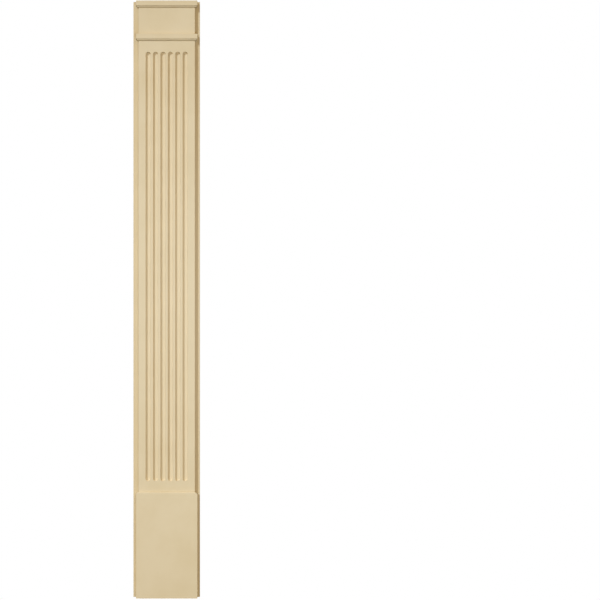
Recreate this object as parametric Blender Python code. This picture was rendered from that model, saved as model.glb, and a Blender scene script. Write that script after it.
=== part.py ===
"""Fluted pilaster for the face of a wall, beside a doorway.

A flat back board carries a fluted board, which runs from a plinth block up to the head. A cap
moulding finishes the head and a neck moulding marks off the plain frieze below it. Both
mouldings are mitred round the front and the two sides.

Metres, +Z up. The front looks along -Y. The back, which lies against the wall, is the plane
y = 0, and the origin is the centre of that face.
"""

import math

import bmesh
import bpy

# Overall
PILASTER_HEIGHT = 2.2860     # foot to head, 90 in
JOINT_GAP = 0.0003           # room between two pieces that touch
ARRIS = 0.0004               # small flat that eases each long outer corner

# Back board
BOARD_THICKNESS = 0.0254     # 1 in
BOARD_REVEAL = 0.0198        # strip of the back board that shows on each side of the shaft

# Fluted board: the shaft, with the frieze at its head
SHAFT_WIDTH = 0.2159         # 8 1/2 in
SHAFT_THICKNESS = 0.015875   # 5/8 in
SHAFT_BORDER = 0.0250        # least plain width kept outside the outer flutes
FLUTE_WIDTH = 0.01905        # 3/4 in, with half-round ends
FLUTE_DEPTH = 0.0090         # to its flat floor
FLUTE_FILLET = 0.0025        # rounds the corner between its wall and its floor
FLUTE_LAND = 0.0093          # flat left between two flutes
FLUTE_HEAD_MARGIN = 0.0430   # from the flutes' heads up to the neck moulding
FLUTE_FOOT_MARGIN = 0.0415   # from the flutes' feet down to the plinth block

# How far the mouldings and the plinth block stand out from the shaft
FRONT_OVERHANG = 0.0079      # from its face, 5/16 in
SIDE_OVERHANG = 0.0095       # from each of its sides, 3/8 in

# Cap and neck mouldings, which share one section: a fascia above an ovolo
FASCIA_HEIGHT = 0.01905      # 3/4 in
FASCIA_STEP = 0.0024         # how far the fascia stands out beyond the ovolo
OVOLO_HEIGHT = 0.0058        # a narrow fillet and the round below it
OVOLO_RADIUS = 0.0046
FRIEZE_HEIGHT = 0.1021       # plain band between the cap moulding and the neck moulding

# Plinth block
PLINTH_HEIGHT = 0.4064       # 16 in
SHOULDER_RADIUS = 0.0120     # rounds the block's two upper corners, seen from the front
TOP_EASE = 0.0042            # rounds the upper edge of its front

# Facets of the round shapes
FLUTE_END_FACETS = 12        # round each end of a flute
FILLET_FACETS = 4
OVOLO_FACETS = 5
SHOULDER_FACETS = 8
EASE_FACETS = 5

# Places that follow from the sizes above
BOARD_WIDTH = SHAFT_WIDTH + 2.0 * BOARD_REVEAL
FOOT_Z = -PILASTER_HEIGHT / 2.0
HEAD_Z = PILASTER_HEIGHT / 2.0
PLINTH_TOP_Z = FOOT_Z + PLINTH_HEIGHT
MOULDING_HEIGHT = FASCIA_HEIGHT + OVOLO_HEIGHT
NECK_TOP_Z = HEAD_Z - MOULDING_HEIGHT - FRIEZE_HEIGHT
FLUTE_HEAD_Z = NECK_TOP_Z - MOULDING_HEIGHT - FLUTE_HEAD_MARGIN
FLUTE_FOOT_Z = PLINTH_TOP_Z + FLUTE_FOOT_MARGIN
BOARD_FACE_Y = -BOARD_THICKNESS
SHAFT_FACE_Y = BOARD_FACE_Y - SHAFT_THICKNESS

PRIMER_COLOUR = (0.723, 0.597, 0.386)
PRIMER_ROUGHNESS = 0.55


def primer(name):
    """Return a matt tan primer, which every piece has on its sealed face."""
    material = bpy.data.materials.new(name)
    material.use_nodes = True
    shader = material.node_tree.nodes["Principled BSDF"]
    shader.inputs["Base Color"].default_value = (*PRIMER_COLOUR, 1.0)
    shader.inputs["Roughness"].default_value = PRIMER_ROUGHNESS
    shader.inputs["Metallic"].default_value = 0.0
    return material


def skinned_mesh(name, rings_of_each_body):
    """Return a mesh of closed bodies, each skinned over a row of equal rings with flat ends."""
    bm = bmesh.new()
    for rings in rings_of_each_body:
        loops = [[bm.verts.new(point) for point in ring] for ring in rings]
        for near, far in zip(loops, loops[1:]):
            for index in range(len(near)):
                bm.faces.new((near[index - 1], near[index], far[index], far[index - 1]))
        bm.faces.new(loops[0])
        bm.faces.new(loops[-1])
    bmesh.ops.recalc_face_normals(bm, faces=bm.faces)
    mesh = bpy.data.meshes.new(name)
    bm.to_mesh(mesh)
    bm.free()
    return mesh


def piece(name, rings):
    """Add one closed piece to the scene, skinned over its rings, and return its object."""
    mesh = skinned_mesh(name, [rings])
    mesh.materials.append(primer(name + "_primer"))
    mesh.shade_smooth()
    mesh.set_sharp_from_angle(angle=math.radians(30.0))
    part = bpy.data.objects.new(name, mesh)
    bpy.context.scene.collection.objects.link(part)
    return part


def plan_outline(half_width, back_y, front_y, z):
    """Return the plan of a board at one height: a rectangle with its front corners eased."""
    return [
        (-half_width, back_y, z),
        (-half_width, front_y + ARRIS, z),
        (-half_width + ARRIS, front_y, z),
        (half_width - ARRIS, front_y, z),
        (half_width, front_y + ARRIS, z),
        (half_width, back_y, z),
    ]


def make_back_board():
    """Add the flat board that lies against the wall."""
    half_width = BOARD_WIDTH / 2.0
    levels = (FOOT_Z, HEAD_Z)
    return piece("back_board", [plan_outline(half_width, 0.0, BOARD_FACE_Y, z) for z in levels])


def flute_centres():
    """Return the x of each flute: as many as fit inside the borders, centred on the shaft."""
    pitch = FLUTE_WIDTH + FLUTE_LAND
    room = SHAFT_WIDTH - 2.0 * SHAFT_BORDER - FLUTE_WIDTH
    count = max(1, 1 + math.floor(room / pitch))
    return [pitch * (index - (count - 1) / 2.0) for index in range(count)]


def flute_outline(centre_x, half_width, y):
    """Return the flute's outline at one depth: two straight sides with a half circle at each end."""
    radius = FLUTE_WIDTH / 2.0
    ends = ((FLUTE_HEAD_Z - radius, 0.0), (FLUTE_FOOT_Z + radius, math.pi))
    points = []
    for centre_z, start in ends:
        for step in range(FLUTE_END_FACETS + 1):
            angle = start + math.pi * step / FLUTE_END_FACETS
            across = half_width * math.cos(angle)
            along = half_width * math.sin(angle)
            points.append((centre_x + across, y, centre_z + along))
    return points


def flute_rings(centre_x):
    """Return the rings of one flute's cutter, from in front of the face down to the flat floor."""
    half_width = FLUTE_WIDTH / 2.0
    rings = [flute_outline(centre_x, half_width, SHAFT_FACE_Y - FLUTE_DEPTH)]
    for step in range(FILLET_FACETS + 1):
        angle = math.pi / 2.0 * step / FILLET_FACETS
        inset = FLUTE_FILLET * (1.0 - math.cos(angle))
        depth = FLUTE_DEPTH - FLUTE_FILLET * (1.0 - math.sin(angle))
        rings.append(flute_outline(centre_x, half_width - inset, SHAFT_FACE_Y + depth))
    return rings


def make_fluted_board():
    """Add the board that is both shaft and frieze, with its flutes cut."""
    half_width = SHAFT_WIDTH / 2.0
    back_y = BOARD_FACE_Y - JOINT_GAP
    levels = (PLINTH_TOP_Z + JOINT_GAP, HEAD_Z)
    board = piece(
        "fluted_board",
        [plan_outline(half_width, back_y, SHAFT_FACE_Y, z) for z in levels],
    )
    board.data.shade_flat()
    mesh = skinned_mesh("flute_cutter", [flute_rings(centre_x) for centre_x in flute_centres()])
    mesh.shade_smooth()
    cutter = bpy.data.objects.new("flute_cutter", mesh)
    cutter.hide_render = True
    cutter.display_type = "WIRE"
    bpy.context.scene.collection.objects.link(cutter)
    flutes = board.modifiers.new("flutes", "BOOLEAN")
    flutes.operation = "DIFFERENCE"
    flutes.solver = "EXACT"
    flutes.object = cutter
    return board


def moulding_section():
    """Return the moulding's section as (distance out from the shaft's face, drop below its top)."""
    ovolo_out = FRONT_OVERHANG - FASCIA_STEP
    section = [
        (JOINT_GAP, 0.0),
        (FRONT_OVERHANG - ARRIS, 0.0),
        (FRONT_OVERHANG, ARRIS),
        (FRONT_OVERHANG, FASCIA_HEIGHT - ARRIS),
        (FRONT_OVERHANG - ARRIS, FASCIA_HEIGHT),
        (ovolo_out, FASCIA_HEIGHT),
    ]
    for step in range(OVOLO_FACETS + 1):
        angle = math.pi / 2.0 * step / OVOLO_FACETS
        out = ovolo_out - OVOLO_RADIUS * (1.0 - math.cos(angle))
        drop = MOULDING_HEIGHT - OVOLO_RADIUS * (1.0 - math.sin(angle))
        section.append((out, drop))
    section.append((JOINT_GAP, MOULDING_HEIGHT))
    return section


def make_moulding(name, top_z):
    """Add a moulding whose section runs round the shaft's two sides and front, mitred.

    At the sides its distances out grow in the ratio of the side overhang to the front overhang.
    """
    section = moulding_section()
    back_y = BOARD_FACE_Y - JOINT_GAP
    rings = []
    for side in (-1.0, 1.0):
        against_board = []
        mitre = []
        for out, drop in section:
            side_x = side * (SHAFT_WIDTH / 2.0 + out * SIDE_OVERHANG / FRONT_OVERHANG)
            against_board.append((side_x, back_y, top_z - drop))
            mitre.append((side_x, SHAFT_FACE_Y - out, top_z - drop))
        rings += [against_board, mitre] if side < 0.0 else [mitre, against_board]
    return piece(name, rings)


def plinth_outline(y, inset, drop):
    """Return the block's front view at one depth: sides drawn in by inset and top lowered by drop.

    A lower top has tighter shoulders, which meet the sides at the same height as the others.
    """
    radius = SHOULDER_RADIUS - drop
    half_width = SHAFT_WIDTH / 2.0 + SIDE_OVERHANG - inset
    centre_x = half_width - radius
    centre_z = PLINTH_TOP_Z - SHOULDER_RADIUS
    outline = [(-half_width, y, FOOT_Z)]
    for side, start in ((-1.0, math.pi), (1.0, math.pi / 2.0)):
        for step in range(SHOULDER_FACETS + 1):
            angle = start - math.pi / 2.0 * step / SHOULDER_FACETS
            outline.append((
                side * centre_x + radius * math.cos(angle),
                y,
                centre_z + radius * math.sin(angle),
            ))
    outline.append((half_width, y, FOOT_Z))
    return outline


def make_plinth_block():
    """Add the block at the foot, with rounded shoulders and its front's upper edge eased."""
    front_y = SHAFT_FACE_Y - FRONT_OVERHANG
    rings = [plinth_outline(BOARD_FACE_Y - JOINT_GAP, 0.0, 0.0)]
    for step in range(EASE_FACETS + 1):
        angle = math.pi / 2.0 * step / EASE_FACETS
        depth = TOP_EASE * (1.0 - math.sin(angle))
        turn = 1.0 - math.cos(angle)
        rings.append(plinth_outline(front_y + depth, ARRIS * turn, TOP_EASE * turn))
    return piece("plinth_block", rings)


def main():
    """Clear the scene and build the pilaster's pieces."""
    for leftover in list(bpy.data.objects):
        bpy.data.objects.remove(leftover, do_unlink=True)
    make_back_board()
    make_fluted_board()
    make_moulding("cap_moulding", HEAD_Z)
    make_moulding("neck_moulding", NECK_TOP_Z)
    make_plinth_block()


main()
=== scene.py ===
"""Fluted pilaster: its boards and mouldings as fine surfaces in a tan primer, lit in a plain studio.

Every size is in metres. The front looks along -Y, +Z is up, and the flat back lies in the plane
y = 0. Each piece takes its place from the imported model's node that it stands for.
"""

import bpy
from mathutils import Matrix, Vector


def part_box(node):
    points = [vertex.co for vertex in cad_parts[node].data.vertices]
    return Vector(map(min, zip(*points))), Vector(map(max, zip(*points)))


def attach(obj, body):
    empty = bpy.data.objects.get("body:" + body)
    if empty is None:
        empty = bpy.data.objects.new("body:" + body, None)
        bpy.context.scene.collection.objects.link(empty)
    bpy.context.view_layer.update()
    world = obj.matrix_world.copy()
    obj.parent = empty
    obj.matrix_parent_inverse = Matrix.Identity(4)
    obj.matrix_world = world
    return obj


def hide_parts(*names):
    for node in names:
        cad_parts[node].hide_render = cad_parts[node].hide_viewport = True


bl_info = {
    "name": "Fluted Pilaster",
    "version": (1, 0, 0),
    "blender": (4, 5, 0),
    "location": "3D View > Sidebar > Pilaster",
    "description": "Makes a fluted pilaster with its primer finish, and a studio to see it in",
    "category": "Add Mesh",
}

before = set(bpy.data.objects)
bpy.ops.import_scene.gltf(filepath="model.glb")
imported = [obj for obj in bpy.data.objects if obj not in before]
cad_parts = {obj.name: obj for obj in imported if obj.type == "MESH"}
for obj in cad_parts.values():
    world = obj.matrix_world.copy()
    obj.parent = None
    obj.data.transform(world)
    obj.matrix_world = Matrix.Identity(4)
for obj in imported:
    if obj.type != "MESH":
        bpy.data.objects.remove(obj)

import math

import bmesh
import bpy
import numpy as np
from mathutils import Vector

BODY = "root"
MM = 0.001

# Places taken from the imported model
BOARD_LOW, BOARD_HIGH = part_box("back_board")
SHAFT_LOW, SHAFT_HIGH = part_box("fluted_board")
CAP_LOW, CAP_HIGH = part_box("cap_moulding")
NECK_LOW, NECK_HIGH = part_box("neck_moulding")
PLINTH_LOW, PLINTH_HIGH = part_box("plinth_block")
SHAFT_HALF_WIDTH = SHAFT_HIGH.x
SHAFT_FACE_Y = SHAFT_LOW.y
FRONT_OVERHANG = SHAFT_FACE_Y - CAP_LOW.y
SIDE_OVERHANG = CAP_HIGH.x - SHAFT_HALF_WIDTH
PILASTER_MIDDLE = (BOARD_LOW + BOARD_HIGH) / 2.0

# How finely the round shapes are drawn
SUPPORT = 0.15 * MM        # a flat's first row of points, which keeps its shading flat up to a round
ARRIS_STEPS = 6
OVOLO_STEPS = 16
EASE_STEPS = 12
SHOULDER_STEPS = 24
LENGTH_STEPS = 24          # along a board
FILLET_STEPS = 8
FLUTE_END_STEPS = 32       # round each end, a multiple of four
MATCH_DECIMALS = 7         # of a metre, to which points that meet are rounded
WELD_DISTANCE = 0.002 * MM
SHARP_ANGLE = 30.0         # degrees between two faces, past which their shared edge is drawn sharp

# How deep below the shaft's face the cutter's marks begin
MARKS_BEGIN = 0.5 * MM

# The picture's frame: 600 pixels a side
FRAME_PIXELS = 600.0
PILASTER_CENTRE_PIXEL = 166.70
PILASTER_MIDDLE_PIXEL = 299.46
FRAME_HEIGHT = 2.3055      # real height that the frame spans at the back board's face
CAMERA_DISTANCE = 4.37     # from the back board's face
SENSOR_WIDTH = 36.0

# The lamps' places from the pilaster's middle, and how far round, in degrees, their light comes from
KEY_PLACE = Vector((-0.82, -1.0, 0.80))
KEY_SPREAD = 3.0
FILL_PLACE = Vector((0.32, -2.3, 0.03))
FILL_SIZE = 1.2            # across the disk
BROAD_PLACE = Vector((0.0, -1.0, 0.8))
BROAD_SPREAD = 120.0
BACK_PLACE = Vector((0.5, 1.0, 0.5))
BACK_SPREAD = 30.0

# The floor: rings from the middle outwards, each with as many sides
FLOOR_RADII = (0.5, 2.0, 8.0, 40.0)
FLOOR_SIDES = 64


def linear(hex_colour):
    """Turn an sRGB hex value such as '#DDCBA7' into linear red, green and blue."""
    channels = []
    for start in (1, 3, 5):
        value = int(hex_colour[start:start + 2], 16) / 255.0
        channels.append(value / 12.92 if value <= 0.04045 else ((value + 0.055) / 1.055) ** 2.4)
    return tuple(channels)


class PilasterSizes(bpy.types.PropertyGroup):
    """The sizes of the pilaster's cut and moulded shapes."""

    arris_radius: bpy.props.FloatProperty(
        name="Arris", description="Radius that eases the long outer corners of boards and mouldings",
        default=0.4 * MM, min=0.1 * MM, unit="LENGTH")
    flute_width: bpy.props.FloatProperty(
        name="Flute width", description="Width of one flute, whose ends are half round",
        default=19.05 * MM, min=1.0 * MM, unit="LENGTH")
    flute_depth: bpy.props.FloatProperty(
        name="Flute depth", description="Depth of the flat floor below the shaft's face",
        default=9.0 * MM, min=1.0 * MM, unit="LENGTH")
    flute_fillet: bpy.props.FloatProperty(
        name="Flute fillet", description="Radius between a flute's wall and its floor",
        default=2.5 * MM, min=0.1 * MM, unit="LENGTH")
    flute_land: bpy.props.FloatProperty(
        name="Land", description="Flat left between two flutes",
        default=9.3 * MM, min=1.0 * MM, unit="LENGTH")
    flute_arris: bpy.props.FloatProperty(
        name="Flute arris", description="Radius that eases the edge of a flute",
        default=0.25 * MM, min=0.1 * MM, unit="LENGTH")
    flute_count: bpy.props.IntProperty(
        name="Flutes", description="Number of flutes across the shaft", default=6, min=1)
    head_margin: bpy.props.FloatProperty(
        name="Head margin", description="From the flutes' heads up to the neck moulding",
        default=43.0 * MM, min=1.0 * MM, unit="LENGTH")
    foot_margin: bpy.props.FloatProperty(
        name="Foot margin", description="From the flutes' feet down to the plinth block",
        default=41.5 * MM, min=1.0 * MM, unit="LENGTH")
    fascia_height: bpy.props.FloatProperty(
        name="Fascia height", description="Height of the flat front of the mouldings",
        default=19.05 * MM, min=1.0 * MM, unit="LENGTH")
    fascia_step: bpy.props.FloatProperty(
        name="Fascia step", description="How far the fascia stands out beyond the ovolo below it",
        default=2.4 * MM, min=0.5 * MM, unit="LENGTH")
    ovolo_radius: bpy.props.FloatProperty(
        name="Ovolo", description="Radius of the round under the fascia",
        default=4.6 * MM, min=0.1 * MM, unit="LENGTH")
    shoulder_radius: bpy.props.FloatProperty(
        name="Shoulder", description="Radius of the plinth block's two upper corners",
        default=12.0 * MM, min=1.0 * MM, unit="LENGTH")
    top_ease: bpy.props.FloatProperty(
        name="Top ease", description="Radius on the upper edge of the plinth block's front",
        default=4.2 * MM, min=0.5 * MM, unit="LENGTH")


class PilasterFinish(bpy.types.PropertyGroup):
    """The colours and grain sizes of the primer."""

    primer_colour: bpy.props.FloatVectorProperty(
        name="Primer", description="Main colour of the primer coat",
        default=linear("#E3CFA5"), size=3, min=0.0, max=1.0, subtype="COLOR")
    primer_thin_colour: bpy.props.FloatVectorProperty(
        name="Thin primer", description="Colour where the coat is a little thinner",
        default=linear("#DFCA9E"), size=3, min=0.0, max=1.0, subtype="COLOR")
    # The back board's two colours are a shade deeper than the primer's. This is painted shade for the shade
    # that falls on the board where it lies back behind the shaft.
    board_shaded_colour: bpy.props.FloatVectorProperty(
        name="Board primer", description="Main colour on the back board, which was sprayed a shade deeper",
        default=linear("#DBC495"), size=3, min=0.0, max=1.0, subtype="COLOR")
    board_thin_shaded_colour: bpy.props.FloatVectorProperty(
        name="Thin board primer", description="Colour on the back board where the coat is a little thinner",
        default=linear("#D7BF8F"), size=3, min=0.0, max=1.0, subtype="COLOR")
    mottle_size: bpy.props.FloatProperty(
        name="Mottle", description="Width of the broad, faint patches left by the spray gun's passes",
        default=120.0 * MM, min=1.0 * MM, unit="LENGTH")
    peel_size: bpy.props.FloatProperty(
        name="Orange peel", description="Width of one dimple in the sprayed coat",
        default=1.6 * MM, min=0.1 * MM, unit="LENGTH")
    feed_mark: bpy.props.FloatProperty(
        name="Feed mark", description="Distance between the cutter's marks along a flute",
        default=1.2 * MM, min=0.1 * MM, unit="LENGTH")


class PilasterStudio(bpy.types.PropertyGroup):
    """The lamps and the floor."""

    key_strength: bpy.props.FloatProperty(
        name="Key", description="Strength of the key light, from the upper left", default=2.56, min=0.0)
    key_colour: bpy.props.FloatVectorProperty(
        name="Key colour", description="Colour of the key light, a cool daylight",
        default=(0.625, 0.755, 1.0), size=3, min=0.0, max=1.0, subtype="COLOR")
    fill_power: bpy.props.FloatProperty(
        name="Fill", description="Power of the soft light in front", default=23.8, min=0.0, unit="POWER")
    fill_colour: bpy.props.FloatVectorProperty(
        name="Fill colour", description="Colour of the lights in front and behind, a cool daylight too",
        default=(0.63, 0.77, 0.97), size=3, min=0.0, max=1.0, subtype="COLOR")
    broad_strength: bpy.props.FloatProperty(
        name="Broad", description="Strength of the very broad light, above and in front",
        default=0.93, min=0.0)
    broad_colour: bpy.props.FloatVectorProperty(
        name="Broad colour", description="Colour of the very broad light, as warm as the room's",
        default=(1.0, 0.70, 0.28), size=3, min=0.0, max=1.0, subtype="COLOR")
    back_strength: bpy.props.FloatProperty(
        name="Back", description="Strength of the light behind, which only the hidden sides catch",
        default=1.5, min=0.0)
    room_strength: bpy.props.FloatProperty(
        name="Room", description="Strength of the even light of the room", default=0.11, min=0.0)
    room_colour: bpy.props.FloatVectorProperty(
        name="Room colour", description="Colour of the even light of the room, warm as if from tan walls",
        default=(1.0, 0.67, 0.16), size=3, min=0.0, max=1.0, subtype="COLOR")
    floor_colour: bpy.props.FloatVectorProperty(
        name="Floor", description="Colour that the lit floor shows",
        default=linear("#FFFFFF"), size=3, min=0.0, max=1.0, subtype="COLOR")


def quarter_round(centre, radius, start, steps):
    """Return points on a quarter circle: centre + radius * (cos t, sin t), t from start on by 90 degrees."""
    angle = np.radians(start) + np.linspace(0.0, math.pi / 2.0, steps + 1)
    return np.asarray(centre) + radius * np.column_stack((np.cos(angle), np.sin(angle)))


def board_plan(half_width, back_y, front_y, radius, front_x=()):
    """Return a board's plan as x, y points: square at the back, quarter rounds at the front corners.

    The path runs from the back's left corner round the front to the back's right corner. front_x
    adds points on the flat of the front.
    """
    corner_x = half_width - radius
    corner_y = front_y + radius
    left = quarter_round((-corner_x, corner_y), radius, 180.0, ARRIS_STEPS)
    right = quarter_round((corner_x, corner_y), radius, 270.0, ARRIS_STEPS)
    flat_x = np.concatenate(([SUPPORT - corner_x], front_x, [corner_x - SUPPORT]))
    flat = np.column_stack((flat_x, np.full(len(flat_x), front_y)))
    return np.vstack((
        [(-half_width, back_y), (-half_width, corner_y + SUPPORT)],
        left,
        flat,
        right,
        [(half_width, corner_y + SUPPORT), (half_width, back_y)],
    ))


def grid_faces(rows, columns, first=0):
    """Return the quads of a grid of rows x columns points, whose columns close into a ring."""
    row, column = np.meshgrid(np.arange(rows - 1), np.arange(columns), indexing="ij")
    after = (column + 1) % columns
    corners = (row * columns + column, row * columns + after,
               (row + 1) * columns + after, (row + 1) * columns + column)
    return first + np.stack(corners, axis=-1)


def ring_solid(rings):
    """Return the points and faces of a solid skinned over rings of points, with a flat face at each end.

    rings is an array of rings x points x 3: a section carried along a path.
    """
    rows, columns = rings.shape[:2]
    faces = grid_faces(rows, columns).reshape(-1, 4).tolist()
    faces.append(list(range(columns)))
    faces.append(list(range((rows - 1) * columns, rows * columns)))
    return rings.reshape(-1, 3), faces


def add_piece(name, node, points, faces, material):
    """Make the mesh, weld and smooth it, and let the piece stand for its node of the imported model."""
    mesh = bpy.data.meshes.new(name)
    mesh.from_pydata(points.tolist(), [], faces)
    work = bmesh.new()
    work.from_mesh(mesh)
    bmesh.ops.remove_doubles(work, verts=work.verts, dist=WELD_DISTANCE)
    bmesh.ops.recalc_face_normals(work, faces=work.faces)
    work.to_mesh(mesh)
    work.free()
    mesh.shade_smooth()
    mesh.set_sharp_from_angle(angle=math.radians(SHARP_ANGLE))
    mesh.materials.append(material)
    piece = bpy.data.objects.new(name, mesh)
    bpy.context.scene.collection.objects.link(piece)
    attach(piece, BODY)
    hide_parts(node)
    return piece


def upright_rings(plans, heights):
    """Return rings x points x 3 for plans of x, y points set at their heights."""
    return np.stack([np.column_stack((plan, np.full(len(plan), z))) for plan, z in zip(plans, heights)])


def flute_profile(sizes):
    """Return a flute's half section, from the middle of its floor to the land, as (out, depth) rows.

    A fillet joins the flat floor to the upright wall, and an arris eases the wall's outer edge.
    """
    wall_out = sizes.flute_width / 2.0
    fillet, arris = sizes.flute_fillet, sizes.flute_arris
    hollow = quarter_round((wall_out - fillet, fillet - sizes.flute_depth), fillet, 270.0, FILLET_STEPS)
    edge = quarter_round((wall_out + arris, -arris), arris, 90.0, ARRIS_STEPS)[::-1]
    section = np.vstack((
        [(0.0, -sizes.flute_depth), (wall_out - fillet - SUPPORT, -sizes.flute_depth)],
        hollow,
        [(wall_out, fillet - sizes.flute_depth + SUPPORT), (wall_out, -arris - SUPPORT)],
        edge,
        [(wall_out + arris + SUPPORT, 0.0)],
    ))
    return section * (1.0, -1.0)


def flute_cell(profile, centre_x, half_cell, foot_centre_z, head_centre_z):
    """Return a flute and the flat round it as a grid, rings x stations x 3.

    The stations go round a stadium: half circles about the head's and foot's centres and straight
    runs between. Each ring is the stadium pushed out by the profile's distance and sunk by its
    depth. The last ring is pushed out onto the cell's rectangle.
    """
    head = np.linspace(0.0, math.pi, FLUTE_END_STEPS + 1)
    run = np.linspace(head_centre_z, foot_centre_z, LENGTH_STEPS + 1)[1:-1]
    direction = np.vstack((
        np.column_stack((np.cos(head), np.sin(head))),
        np.tile((-1.0, 0.0), (len(run), 1)),
        np.column_stack((-np.cos(head), -np.sin(head))),
        np.tile((1.0, 0.0), (len(run), 1)),
    ))
    base_z = np.concatenate((np.full(len(head), head_centre_z), run,
                             np.full(len(head), foot_centre_z), run[::-1]))
    out, depth = profile[:, 0, None], profile[:, 1, None]
    rings = np.stack((centre_x + out * direction[:, 0],
                      SHAFT_FACE_Y + np.broadcast_to(depth, (len(out), len(base_z))),
                      base_z + out * direction[:, 1]), axis=-1)
    square = direction / np.abs(direction).max(axis=1, keepdims=True)
    border = np.column_stack((centre_x + half_cell * square[:, 0],
                              np.full(len(base_z), SHAFT_FACE_Y),
                              base_z + half_cell * square[:, 1]))
    return np.concatenate((rings, border[None]))


def fluted_board_surface(sizes):
    """Return the points and faces of the fluted board.

    The board's plan is carried up its length as a grid with a window in its front, and the
    flutes' cells fill the window, point for point along its border.
    """
    radius = sizes.flute_width / 2.0
    half_cell = (sizes.flute_width + sizes.flute_land) / 2.0
    head_centre_z = NECK_LOW.z - sizes.head_margin - radius
    foot_centre_z = PLINTH_HIGH.z + sizes.foot_margin + radius
    centres = 2.0 * half_cell * (np.arange(sizes.flute_count) - (sizes.flute_count - 1) / 2.0)
    profile = flute_profile(sizes)
    cells = [flute_cell(profile, x, half_cell, foot_centre_z, head_centre_z) for x in centres]

    border = cells[0][-1]
    side_z = np.unique(np.round(border[np.isclose(border[:, 0], centres[0] - half_cell), 2],
                                MATCH_DECIMALS))
    end_x = border[np.isclose(border[:, 2], head_centre_z + half_cell), 0] - centres[0]
    front_x = np.unique(np.round((centres[:, None] + end_x[None]).ravel(), MATCH_DECIMALS))
    heights = np.concatenate(([SHAFT_LOW.z], side_z,
                              np.linspace(side_z[-1], SHAFT_HIGH.z, LENGTH_STEPS // 3)[1:]))
    plan = board_plan(SHAFT_HALF_WIDTH, SHAFT_HIGH.y, SHAFT_FACE_Y, sizes.arris_radius, front_x)
    rings = upright_rings([plan] * len(heights), heights)
    rows, columns = rings.shape[:2]
    quads = grid_faces(rows, columns)
    middle = rings[:-1, :, :] + rings[1:, :, :]
    middle = (middle + np.roll(middle, -1, axis=1)) / 4.0
    edge_x = centres[-1] + half_cell
    in_window = ((np.abs(middle[..., 0]) < edge_x) & np.isclose(middle[..., 1], SHAFT_FACE_Y)
                 & (middle[..., 2] > side_z[0]) & (middle[..., 2] < side_z[-1]))
    faces = quads[~in_window].tolist()
    faces.append(list(range(columns)))
    faces.append(list(range((rows - 1) * columns, rows * columns)))
    points = [rings.reshape(-1, 3)]
    first = rows * columns
    for cell in cells:
        faces += grid_faces(*cell.shape[:2], first=first).reshape(-1, 4).tolist()
        points.append(cell.reshape(-1, 3))
        first += cell.shape[0] * cell.shape[1]
    return np.concatenate(points), faces


def moulding_section(sizes, gap, height):
    """Return the moulding's section as (out, drop) rows: fascia with eased corners above an ovolo."""
    ease = sizes.arris_radius
    fascia_out = FRONT_OVERHANG
    ovolo_out = FRONT_OVERHANG - sizes.fascia_step
    ovolo_start = height - sizes.ovolo_radius
    top = quarter_round((fascia_out - ease, ease), ease, 270.0, ARRIS_STEPS)
    bottom = quarter_round((fascia_out - ease, sizes.fascia_height - ease), ease, 0.0, ARRIS_STEPS)
    ovolo = quarter_round((ovolo_out - sizes.ovolo_radius, ovolo_start), sizes.ovolo_radius, 0.0, OVOLO_STEPS)
    return np.vstack((
        [(gap, 0.0), (fascia_out - ease - SUPPORT, 0.0)],
        top,
        [(fascia_out, ease + SUPPORT), (fascia_out, sizes.fascia_height - ease - SUPPORT)],
        bottom,
        [(fascia_out - ease - SUPPORT, sizes.fascia_height),
         (ovolo_out, sizes.fascia_height),
         (ovolo_out, ovolo_start - SUPPORT)],
        ovolo,
        [(gap, height)],
    ))


def moulding_rings(section, top_z, back_y, ease):
    """Carry the section from the back board round the shaft's side, front and other side.

    At the sides its distances out grow in the ratio of the side overhang to the front overhang.
    Each corner is a mitre with its arris eased: a quarter circle whose radius is ease, or the
    section's own distance out where that is less, so the inner edge still turns square.
    """
    out, drop = section[:, 0], section[:, 1]
    z = top_z - drop
    ease = np.minimum(ease, out)
    rings = []

    def station(x, y):
        rings.append(np.column_stack((np.broadcast_to(x, out.shape), np.broadcast_to(y, out.shape), z)))

    side_x = SHAFT_HALF_WIDTH + out * SIDE_OVERHANG / FRONT_OVERHANG
    front_y = SHAFT_FACE_Y - out
    station(-side_x, back_y)
    station(-side_x, front_y + ease + SUPPORT)
    for start, side in ((180.0, -1.0), (270.0, 1.0)):
        for angle in np.radians(np.linspace(start, start + 90.0, ARRIS_STEPS + 1)):
            centre_x = side * (side_x - ease)
            station(centre_x + ease * math.cos(angle), front_y + ease + ease * math.sin(angle))
        if side < 0.0:
            for share in (-1.0, 1.0):
                station(share * (side_x - ease - SUPPORT), front_y)
    station(side_x, front_y + ease + SUPPORT)
    station(side_x, back_y)
    return np.stack(rings)


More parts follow.
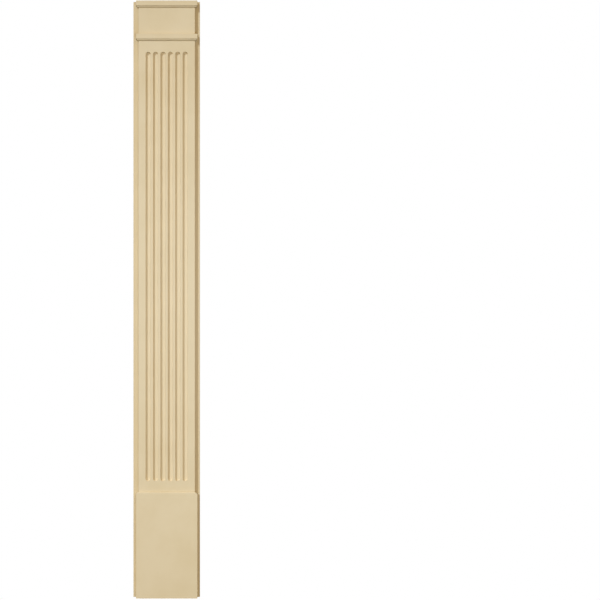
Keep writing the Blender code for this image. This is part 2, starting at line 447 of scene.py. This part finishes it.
def plinth_rings(sizes):
    """Return the plinth block's front outline carried from its back to its front, rings x points x 3.

    The last rings follow a quarter circle of the top's ease, which lowers the top, and draw the
    sides in by an arris. Their shoulders are tighter, and meet the sides at the same height.
    """
    turn = np.linspace(0.0, math.pi / 2.0, EASE_STEPS + 1)
    drops = sizes.top_ease * (1.0 - np.cos(turn))
    insets = sizes.arris_radius * (1.0 - np.cos(turn))
    front_y = PLINTH_LOW.y + sizes.top_ease * (1.0 - np.sin(turn))
    stations = [(PLINTH_HIGH.y, 0.0, 0.0), (front_y[0] + SUPPORT, 0.0, 0.0)]
    stations += zip(front_y, drops, insets)
    stations.append((PLINTH_LOW.y, drops[-1] + SUPPORT, insets[-1] + SUPPORT))
    rings = []
    for y, drop, inset in stations:
        radius = sizes.shoulder_radius - drop
        half_width = PLINTH_HIGH.x - inset
        centre_z = PLINTH_HIGH.z - sizes.shoulder_radius
        left = quarter_round((radius - half_width, centre_z), radius, 90.0, SHOULDER_STEPS)[::-1]
        right = quarter_round((half_width - radius, centre_z), radius, 0.0, SHOULDER_STEPS)[::-1]
        outline = np.vstack(([(-half_width, PLINTH_LOW.z)], left, right, [(half_width, PLINTH_LOW.z)]))
        rings.append(np.column_stack((outline[:, 0], np.full(len(outline), y), outline[:, 1])))
    return np.stack(rings)


def add_node(tree, kind, settings=None, links=None):
    """Add a node to the tree, set its attributes or its inputs' values, and join sockets to its inputs."""
    node = tree.nodes.new(kind)
    for key, value in (settings or {}).items():
        if isinstance(key, int) or key in node.inputs:
            node.inputs[key].default_value = value
        else:
            setattr(node, key, value)
    for key, socket in (links or {}).items():
        tree.links.new(socket, node.inputs[key])
    return node


def new_material(name):
    """Return a node material with its tree and its shader."""
    material = bpy.data.materials.new(name)
    material.use_nodes = True
    return material, material.node_tree, material.node_tree.nodes["Principled BSDF"]


def primer_coat(name, finish, flutes_behind_y=None, colours=None):
    """Tan acrylic primer, sprayed on cellular polymer board and dried in the factory.

    It gives the eye a matt, even cream, with the faint broad patches of the gun's passes, a fine
    orange peel that only shows close to, and a soft sheen at a low angle. flutes_behind_y is the
    plane behind which the surface is a flute, where the cutter's feed marks still show. colours
    are the main colour and the one where the coat is thinner.
    """
    main_colour, thin_colour = colours or (finish.primer_colour, finish.primer_thin_colour)
    material, tree, shader = new_material(name)
    place = add_node(tree, "ShaderNodeTexCoord").outputs["Object"]
    mottle = add_node(tree, "ShaderNodeTexNoise",
                      {"Scale": 1.0 / finish.mottle_size, "Detail": 3.0, "Roughness": 0.55},
                      {"Vector": place})
    patches = add_node(tree, "ShaderNodeMapRange",
                       {"From Min": 0.35, "From Max": 0.65}, {"Value": mottle.outputs["Fac"]})
    colour = add_node(tree, "ShaderNodeMix",
                      {"data_type": "RGBA", "A": (*thin_colour, 1.0), "B": (*main_colour, 1.0)},
                      {"Factor": patches.outputs["Result"]})
    tree.links.new(colour.outputs["Result"], shader.inputs["Base Color"])

    peel = add_node(tree, "ShaderNodeTexNoise",
                    {"Scale": 1.0 / finish.peel_size, "Detail": 2.0, "Roughness": 0.5},
                    {"Vector": place})
    sheen_change = add_node(tree, "ShaderNodeMapRange",
                            {"From Min": 0.3, "From Max": 0.7, "To Min": 0.46, "To Max": 0.6},
                            {"Value": mottle.outputs["Fac"]})
    tree.links.new(sheen_change.outputs["Result"], shader.inputs["Roughness"])
    peel_bump = add_node(tree, "ShaderNodeBump", {"Strength": 0.25, "Distance": 0.05 * MM},
                         {"Height": peel.outputs["Fac"]})
    normal = peel_bump.outputs["Normal"]
    if flutes_behind_y is not None:
        split = add_node(tree, "ShaderNodeSeparateXYZ", None, {"Vector": place})
        in_flute = add_node(tree, "ShaderNodeMath",
                            {"operation": "GREATER_THAN", 1: flutes_behind_y + MARKS_BEGIN},
                            {0: split.outputs["Y"]})
        turns = add_node(tree, "ShaderNodeMath",
                         {"operation": "MULTIPLY", 1: 2.0 * math.pi / finish.feed_mark},
                         {0: split.outputs["Z"]})
        wave = add_node(tree, "ShaderNodeMath", {"operation": "SINE"}, {0: turns.outputs[0]})
        marks = add_node(tree, "ShaderNodeMath", {"operation": "MULTIPLY"},
                         {0: wave.outputs[0], 1: in_flute.outputs[0]})
        marks_bump = add_node(tree, "ShaderNodeBump", {"Strength": 0.12, "Distance": 0.02 * MM},
                              {"Height": marks.outputs[0], "Normal": normal})
        normal = marks_bump.outputs["Normal"]
    tree.links.new(normal, shader.inputs["Normal"])
    shader.inputs["IOR"].default_value = 1.48
    return material


def lit_white_panel(colour):
    """Opal acrylic panel lit from within: it gives the eye an even white that takes no shadow."""
    material, _, shader = new_material("lit_white_panel")
    shader.inputs["Base Color"].default_value = (0.0, 0.0, 0.0, 1.0)
    shader.inputs["Specular IOR Level"].default_value = 0.0
    shader.inputs["Emission Color"].default_value = (*colour, 1.0)
    shader.inputs["Emission Strength"].default_value = 1.0
    return material


class PILASTER_OT_back_board(bpy.types.Operator):
    """Make the flat board that lies against the wall."""

    bl_idname = "pilaster.back_board"
    bl_label = "Back Board"

    def execute(self, context):
        sizes = context.scene.pilaster_sizes
        plan = board_plan(BOARD_HIGH.x, BOARD_HIGH.y, BOARD_LOW.y, sizes.arris_radius)
        heights = np.linspace(BOARD_LOW.z, BOARD_HIGH.z, LENGTH_STEPS + 1)
        points, faces = ring_solid(upright_rings([plan] * len(heights), heights))
        finish = context.scene.pilaster_finish
        # The board's deeper colours are painted shade for its place behind the shaft.
        material = primer_coat("primed_back_board", finish,
                               colours=(finish.board_shaded_colour, finish.board_thin_shaded_colour))
        add_piece("back_board_surface", "back_board", points, faces, material)
        return {"FINISHED"}


class PILASTER_OT_fluted_board(bpy.types.Operator):
    """Make the fluted shaft and the frieze above it, one board."""

    bl_idname = "pilaster.fluted_board"
    bl_label = "Fluted Board"

    def execute(self, context):
        points, faces = fluted_board_surface(context.scene.pilaster_sizes)
        material = primer_coat("primed_fluted_board", context.scene.pilaster_finish, SHAFT_FACE_Y)
        add_piece("fluted_board_surface", "fluted_board", points, faces, material)
        return {"FINISHED"}


class PILASTER_OT_mouldings(bpy.types.Operator):
    """Make the cap moulding and the neck moulding, mitred round the shaft."""

    bl_idname = "pilaster.mouldings"
    bl_label = "Mouldings"

    def execute(self, context):
        sizes = context.scene.pilaster_sizes
        places = {"cap_moulding": (CAP_LOW, CAP_HIGH), "neck_moulding": (NECK_LOW, NECK_HIGH)}
        for node, (low, high) in places.items():
            section = moulding_section(sizes, BOARD_LOW.y - high.y, high.z - low.z)
            points, faces = ring_solid(moulding_rings(section, high.z, high.y, sizes.arris_radius))
            material = primer_coat("primed_" + node, context.scene.pilaster_finish)
            add_piece(node + "_surface", node, points, faces, material)
        return {"FINISHED"}


class PILASTER_OT_plinth_block(bpy.types.Operator):
    """Make the block at the foot, with its rounded shoulders."""

    bl_idname = "pilaster.plinth_block"
    bl_label = "Plinth Block"

    def execute(self, context):
        points, faces = ring_solid(plinth_rings(context.scene.pilaster_sizes))
        material = primer_coat("primed_plinth_block", context.scene.pilaster_finish)
        add_piece("plinth_block_surface", "plinth_block", points, faces, material)
        return {"FINISHED"}


def add_floor(colour):
    """Lay a round floor at the pilaster's foot: points (r cos t, r sin t) on rings of radius r.

    Its light is kept off matt faces, so on the pilaster it shows only as a faint sheen.
    """
    radius = np.array(FLOOR_RADII)
    angle = np.linspace(0.0, 2.0 * math.pi, FLOOR_SIDES + 1)[:-1]
    flat = radius[:, None, None] * np.column_stack((np.cos(angle), np.sin(angle)))[None]
    points = np.concatenate((flat, np.full((*flat.shape[:2], 1), BOARD_LOW.z)), axis=-1)
    faces = grid_faces(*points.shape[:2]).reshape(-1, 4)[:, ::-1].tolist()
    faces.append(list(range(len(angle))))
    mesh = bpy.data.meshes.new("studio_floor")
    mesh.from_pydata(points.reshape(-1, 3).tolist(), [], faces)
    mesh.materials.append(lit_white_panel(colour))
    floor = bpy.data.objects.new("studio_floor", mesh)
    floor.visible_diffuse = False
    bpy.context.scene.collection.objects.link(floor)


def add_lamp(name, kind, place, target, settings):
    """Add a lamp of a kind at a place, aimed at a target, with its settings."""
    data = bpy.data.lights.new(name, kind)
    for key, value in settings.items():
        setattr(data, key, value)
    lamp = bpy.data.objects.new(name, data)
    lamp.location = place
    lamp.rotation_euler = (Vector(target) - Vector(place)).to_track_quat("-Z", "Y").to_euler()
    bpy.context.scene.collection.objects.link(lamp)


def light_room(strength, colour):
    """Light the scene evenly from all round, and show plain white where the camera looks past it."""
    world = bpy.data.worlds.new("studio_room")
    world.use_nodes = True
    tree = world.node_tree
    tree.nodes.clear()
    seen = add_node(tree, "ShaderNodeLightPath").outputs["Is Camera Ray"]
    even = add_node(tree, "ShaderNodeBackground", {"Color": (*colour, 1.0), "Strength": strength})
    white = add_node(tree, "ShaderNodeBackground", {"Color": (1.0, 1.0, 1.0, 1.0), "Strength": 1.0})
    both = add_node(tree, "ShaderNodeMixShader", None,
                    {0: seen, 1: even.outputs[0], 2: white.outputs[0]})
    add_node(tree, "ShaderNodeOutputWorld", None, {"Surface": both.outputs[0]})
    bpy.context.scene.world = world


def add_camera():
    """Stand the camera straight in front, at the height and distance that the picture was made from."""
    data = bpy.data.cameras.new("studio_camera")
    data.sensor_width = SENSOR_WIDTH
    data.lens = SENSOR_WIDTH * CAMERA_DISTANCE / FRAME_HEIGHT
    data.shift_x = 0.5 - PILASTER_CENTRE_PIXEL / FRAME_PIXELS
    camera = bpy.data.objects.new("studio_camera", data)
    pixel = FRAME_HEIGHT / FRAME_PIXELS
    rise = (PILASTER_MIDDLE_PIXEL - FRAME_PIXELS / 2.0) * pixel
    camera.location = (0.0, BOARD_LOW.y - CAMERA_DISTANCE, PILASTER_MIDDLE.z + rise)
    camera.rotation_euler = (math.pi / 2.0, 0.0, 0.0)
    bpy.context.scene.collection.objects.link(camera)
    bpy.context.scene.camera = camera


class PILASTER_OT_studio(bpy.types.Operator):
    """Lay the floor, hang the lamps and set up the camera."""

    bl_idname = "pilaster.studio"
    bl_label = "Studio"

    def execute(self, context):
        studio = context.scene.pilaster_studio
        add_floor(studio.floor_colour)
        light_room(studio.room_strength, studio.room_colour)
        middle = PILASTER_MIDDLE
        add_lamp("key_light", "SUN", middle + KEY_PLACE, middle,
                 {"energy": studio.key_strength, "color": studio.key_colour,
                  "angle": math.radians(KEY_SPREAD)})
        add_lamp("fill_light", "AREA", middle + FILL_PLACE, middle,
                 {"energy": studio.fill_power, "color": studio.fill_colour,
                  "shape": "DISK", "size": FILL_SIZE})
        add_lamp("broad_light", "SUN", middle + BROAD_PLACE, middle,
                 {"energy": studio.broad_strength, "color": studio.broad_colour,
                  "angle": math.radians(BROAD_SPREAD)})
        add_lamp("back_light", "SUN", middle + BACK_PLACE, middle,
                 {"energy": studio.back_strength, "color": studio.fill_colour,
                  "angle": math.radians(BACK_SPREAD)})
        add_camera()
        context.scene.view_settings.view_transform = "Standard"
        return {"FINISHED"}


class PILASTER_PT_panel(bpy.types.Panel):
    """Lists the pilaster's sizes, finish and operators."""

    bl_idname = "PILASTER_PT_panel"
    bl_label = "Fluted Pilaster"
    bl_space_type = "VIEW_3D"
    bl_region_type = "UI"
    bl_category = "Pilaster"

    def draw(self, context):
        for group in ("pilaster_sizes", "pilaster_finish", "pilaster_studio"):
            settings = getattr(context.scene, group)
            box = self.layout.box()
            for name in settings.__annotations__:
                box.prop(settings, name)
        for operator in OPERATORS:
            self.layout.operator(operator.bl_idname)


GROUPS = {
    "pilaster_sizes": PilasterSizes,
    "pilaster_finish": PilasterFinish,
    "pilaster_studio": PilasterStudio,
}
OPERATORS = (
    PILASTER_OT_back_board,
    PILASTER_OT_fluted_board,
    PILASTER_OT_mouldings,
    PILASTER_OT_plinth_block,
    PILASTER_OT_studio,
)


def register():
    """Register the classes, and hang each property group on the scene."""
    for cls in (*GROUPS.values(), *OPERATORS, PILASTER_PT_panel):
        bpy.utils.register_class(cls)
    for name, group in GROUPS.items():
        setattr(bpy.types.Scene, name, bpy.props.PointerProperty(type=group))


def unregister():
    """Take the property groups off the scene and unregister the classes."""
    for name in GROUPS:
        delattr(bpy.types.Scene, name)
    for cls in reversed((*GROUPS.values(), *OPERATORS, PILASTER_PT_panel)):
        bpy.utils.unregister_class(cls)


def main():
    """Make every piece and the studio."""
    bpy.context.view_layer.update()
    register()
    bpy.ops.pilaster.back_board()
    bpy.ops.pilaster.fluted_board()
    bpy.ops.pilaster.mouldings()
    bpy.ops.pilaster.plinth_block()
    bpy.ops.pilaster.studio()


if __name__ == "__main__":
    main()
